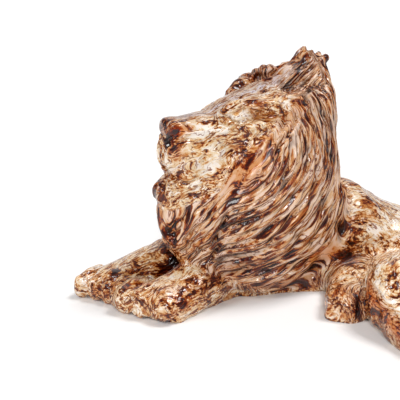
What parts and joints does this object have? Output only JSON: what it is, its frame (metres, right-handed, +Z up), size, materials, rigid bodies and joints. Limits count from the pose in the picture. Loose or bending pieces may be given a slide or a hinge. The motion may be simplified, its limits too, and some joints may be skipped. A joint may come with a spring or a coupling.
{
  "type": "ceramic lion sculpture",
  "caption": "Recumbent hand-modelled lion in glazed marbled clay, head raised in a combed mane, hind legs thrown out to its left; stands on its own underside.",
  "frame": {"origin": "middle of the bounding box's underside, on the surface the lion lies on", "axes": "+Z up, the lion faces -Y, its left side, the one the picture shows, is +X"},
  "size_m": [0.2982, 0.4658, 0.2423],
  "materials": {
    "glazed_clay": "clear glossy glaze over cream, ochre and dark brown marbled clay"
  },
  "bodies": {
    "root": {"lion": "glazed_clay"}
  },
  "joints": []
}
